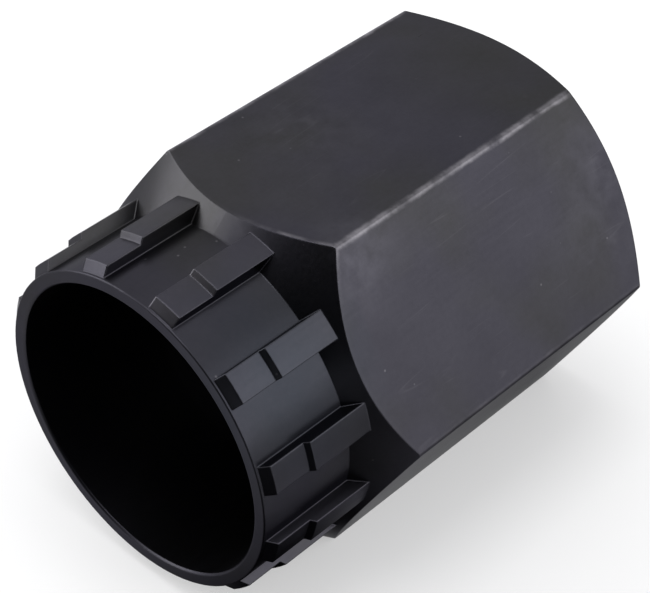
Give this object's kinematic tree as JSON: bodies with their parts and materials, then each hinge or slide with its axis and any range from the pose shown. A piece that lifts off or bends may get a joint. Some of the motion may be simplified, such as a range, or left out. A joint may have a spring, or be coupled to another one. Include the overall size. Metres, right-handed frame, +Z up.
{
  "type": "cassette lockring tool",
  "caption": "Hexagonal steel socket ending in a thin-walled splined barrel, with a wide bore and a smaller hole through its rear wall.",
  "frame": {"origin": "on the floor below the centre of the tool's box, on the flat that the hexagon lies on", "axes": "+Z up, X along the tool's axis with the splined end towards -X, Y across the hexagon's corners"},
  "size_m": [0.0332, 0.0274, 0.0238],
  "materials": {
    "blackened_steel": "satin black oxide"
  },
  "bodies": {
    "root": {"lockring_tool": "blackened_steel"}
  },
  "joints": []
}
